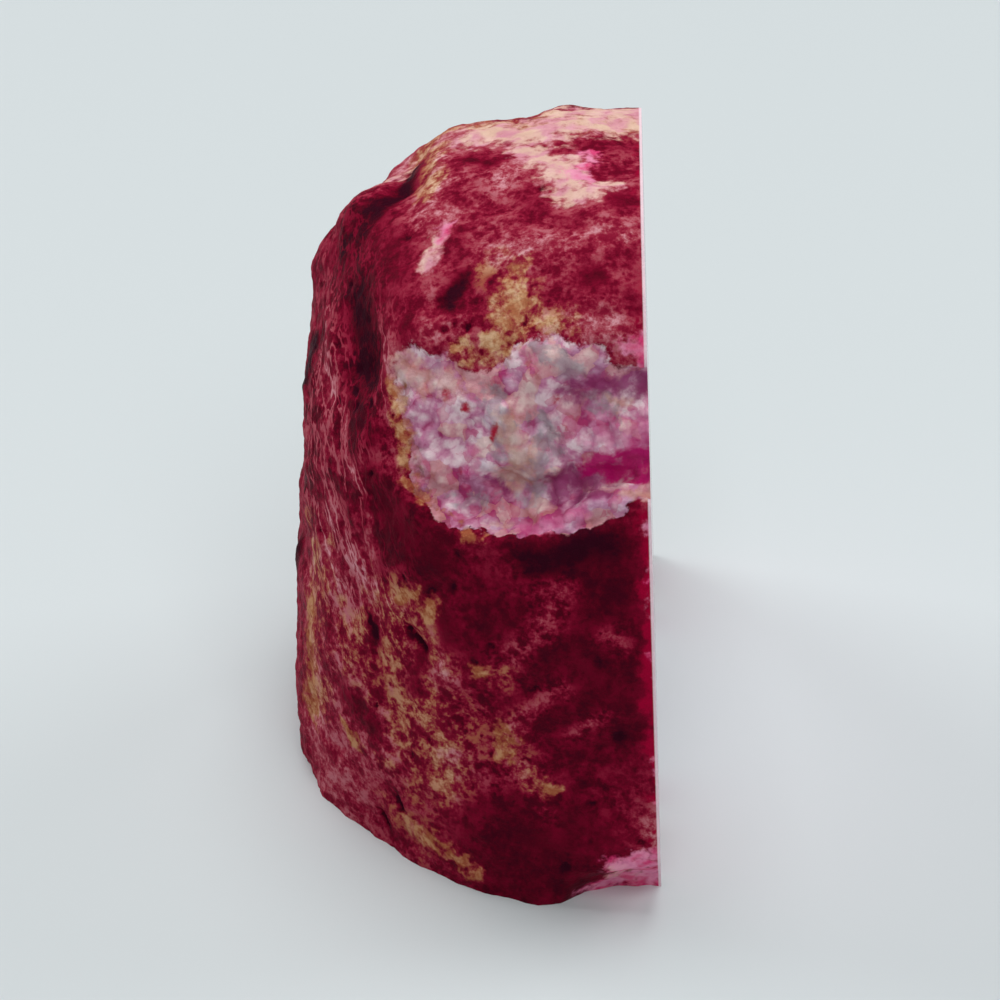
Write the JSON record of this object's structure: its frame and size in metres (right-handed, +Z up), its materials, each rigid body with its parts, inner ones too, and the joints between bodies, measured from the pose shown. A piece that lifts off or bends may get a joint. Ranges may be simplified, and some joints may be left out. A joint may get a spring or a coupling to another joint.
{
  "type": "dyed agate half",
  "caption": "Half of a natural agate nodule, dyed crimson: rough rind, pale crystal pocket, polished face and a sawn flat base to stand on.",
  "frame": {"origin": "centre of the bounding box, on the sawn base", "axes": "+Z up; the polished face looks along +X, leaning back 3.3 degrees; the crystal pocket is on the -Y side"},
  "size_m": [0.062, 0.1068, 0.104],
  "materials": {
    "dyed_agate": "satin rind, one polished face, matte sawn base"
  },
  "bodies": {
    "root": {"agate": "dyed_agate"}
  },
  "joints": []
}
